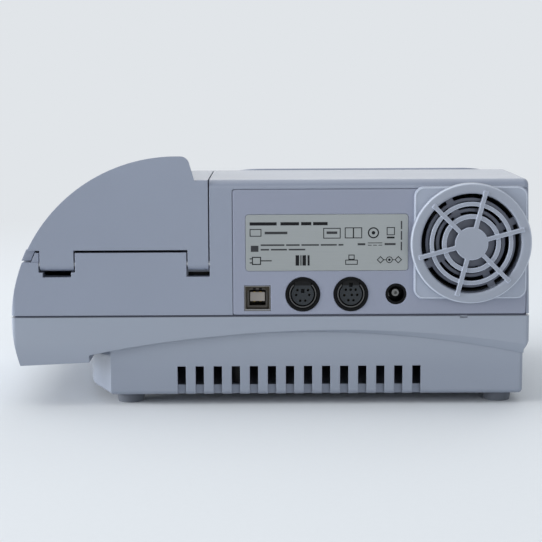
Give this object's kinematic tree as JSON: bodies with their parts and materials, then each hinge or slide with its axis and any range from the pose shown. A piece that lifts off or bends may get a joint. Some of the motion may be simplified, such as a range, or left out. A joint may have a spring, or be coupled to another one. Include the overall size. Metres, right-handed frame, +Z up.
{
  "type": "glycated hemoglobin analyzer",
  "caption": "Benchtop blood analyser with a hinged domed bay lid, a sloped display with keys, and a rear panel with a guarded fan and sockets.",
  "frame": {"origin": "middle of the overall footprint, at the level of the feet's undersides", "axes": "+Z up, -Y towards the front with the display, +Y towards the rear panel, +X towards the bay with the hinged lid"},
  "size_m": [0.205, 0.135, 0.0993],
  "materials": {
    "case_plastic": "fine-textured grey-blue moulding",
    "base_plastic": "fine-textured moulding",
    "panel_plastic": "fine-textured sheet",
    "guard_plastic": "fine-textured moulding",
    "bezel_plastic": "satin moulding",
    "liner_plastic": "dark matt moulding",
    "holder_plastic": "black matt moulding",
    "black_plastic": "black moulding",
    "insert_plastic": "black moulding",
    "tongue_plastic": "light grey moulding",
    "chip_resin": "moulded resin",
    "board_laminate": "green solder mask",
    "key_rubber": "moulded silicone",
    "foot_rubber": "soft rubber",
    "seal_rubber": "foamed rubber",
    "label_foil": "bare satin foil plate",
    "block_aluminium": "machined",
    "optic_aluminium": "black anodised",
    "capacitor_aluminium": "sleeved can",
    "screw_steel": "zinc plated",
    "socket_steel": "tinned sheet",
    "magnet_steel": "nickel plated",
    "pin_nickel": "nickel-plated pin",
    "window_glass": "clear window over a dark display"
  },
  "bodies": {
    "case": {"upper_case": "case_plastic", "lower_case": "case_plastic", "base_plate": "base_plastic", "feet": "foot_rubber", "case_screws": "screw_steel", "rear_panel": "panel_plastic", "label_plate": "label_foil", "fan_guard_base": "guard_plastic", "fan_guard_cover": "guard_plastic", "fan_frame": "black_plastic", "fan_screws": "screw_steel", "usb_shell": "socket_steel", "usb_tongue": "tongue_plastic", "scanner_socket": "black_plastic", "scanner_insert": "insert_plastic", "printer_socket": "black_plastic", "printer_insert": "insert_plastic", "socket_shields": "socket_steel", "power_jack": "black_plastic", "power_jack_pin": "pin_nickel", "main_board": "board_laminate", "board_pillars": "holder_plastic", "board_screws": "screw_steel", "processor_chip": "chip_resin", "capacitors": "capacitor_aluminium", "display_bezel": "bezel_plastic", "display_window": "window_glass", "display_module": "panel_plastic", "display_board": "board_laminate", "key_switches": "black_plastic", "lid_sensor": "chip_resin", "hinge_pins": "screw_steel", "bay_deck": "liner_plastic", "cartridge_holder": "holder_plastic", "light_seal": "seal_rubber", "heater_block": "block_aluminium", "optical_block": "optic_aluminium", "lamp_board": "board_laminate", "detector_board": "board_laminate"},
    "lid": {"lid_shell": "case_plastic", "lid_liner": "liner_plastic", "lid_magnet": "magnet_steel"},
    "fan": {"fan_rotor": "black_plastic"},
    "key_left": {"key_left": "key_rubber"},
    "key_middle": {"key_middle": "key_rubber"},
    "key_right": {"key_right": "key_rubber"}
  },
  "joints": [
    {"name": "lid_hinge", "type": "hinge", "parent": "case", "child": "lid", "pos_m": [0.058, 0.06, 0.0568], "axis": [-1, 0, 0], "range_deg": [0, 95]},
    {"name": "fan_spin", "type": "hinge", "parent": "case", "child": "fan", "pos_m": [-0.0786, 0.0563, 0.065], "axis": [0, 1, 0], "continuous": true},
    {"name": "key_left_press", "type": "slide", "parent": "case", "child": "key_left", "axis": [0, 0.229, -0.9734], "range_m": [0, 0.0008], "stiffness_N_per_m": 400, "springref_m": -0.0006},
    {"name": "key_middle_press", "type": "slide", "parent": "case", "child": "key_middle", "axis": [0, 0.229, -0.9734], "range_m": [0, 0.0008], "stiffness_N_per_m": 400, "springref_m": -0.0006},
    {"name": "key_right_press", "type": "slide", "parent": "case", "child": "key_right", "axis": [0, 0.229, -0.9734], "range_m": [0, 0.0008], "stiffness_N_per_m": 400, "springref_m": -0.0006}
  ]
}
